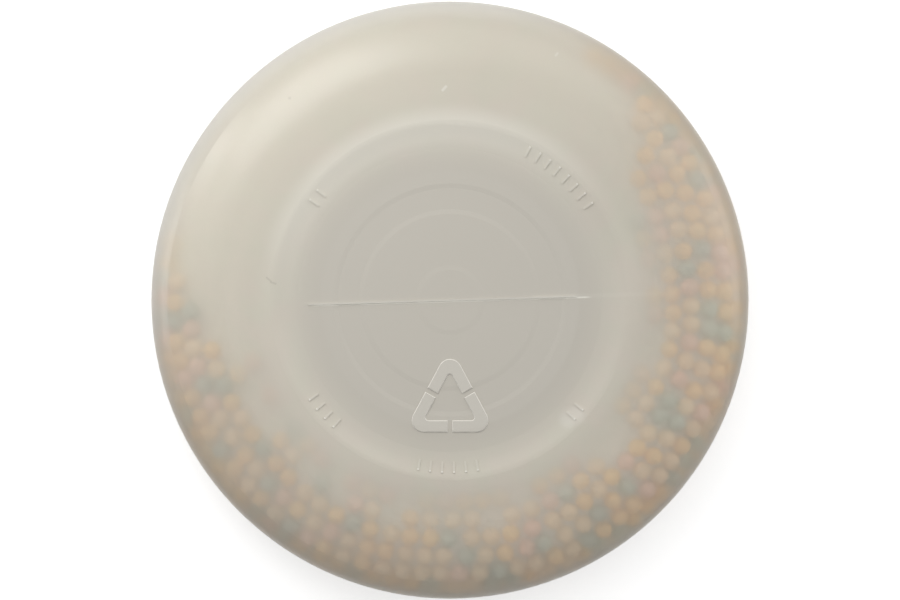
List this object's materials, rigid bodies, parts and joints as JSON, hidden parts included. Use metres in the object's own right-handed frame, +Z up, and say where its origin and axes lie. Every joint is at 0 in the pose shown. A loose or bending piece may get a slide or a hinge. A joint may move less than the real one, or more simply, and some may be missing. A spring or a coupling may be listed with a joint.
{
  "type": "flying disc",
  "caption": "Translucent double-walled flying disc with a recessed middle, a round shoulder and loose beads that run round the hollow rim.",
  "frame": {"origin": "centre of the plane of the foot ring that the disc rests on", "axes": "+Z up through the middle of the top face, +Y towards the top of the raised triangle"},
  "size_m": [0.203, 0.203, 0.027],
  "materials": {
    "shell": "milky translucent polyethylene, softly glossy",
    "amber_bead": "smooth",
    "tan_bead": "smooth",
    "rose_bead": "smooth",
    "sage_bead": "smooth"
  },
  "bodies": {
    "disc": {"upper_shell": "shell", "lower_shell": "shell"},
    "bead_load": {"beads_amber": "amber_bead", "beads_tan": "tan_bead", "beads_rose": "rose_bead", "beads_sage": "sage_bead"}
  },
  "joints": [
    {"name": "bead_run", "type": "hinge", "parent": "disc", "child": "bead_load", "pos_m": [0, 0, 0.0219], "axis": [0, 0, 1], "continuous": true}
  ]
}
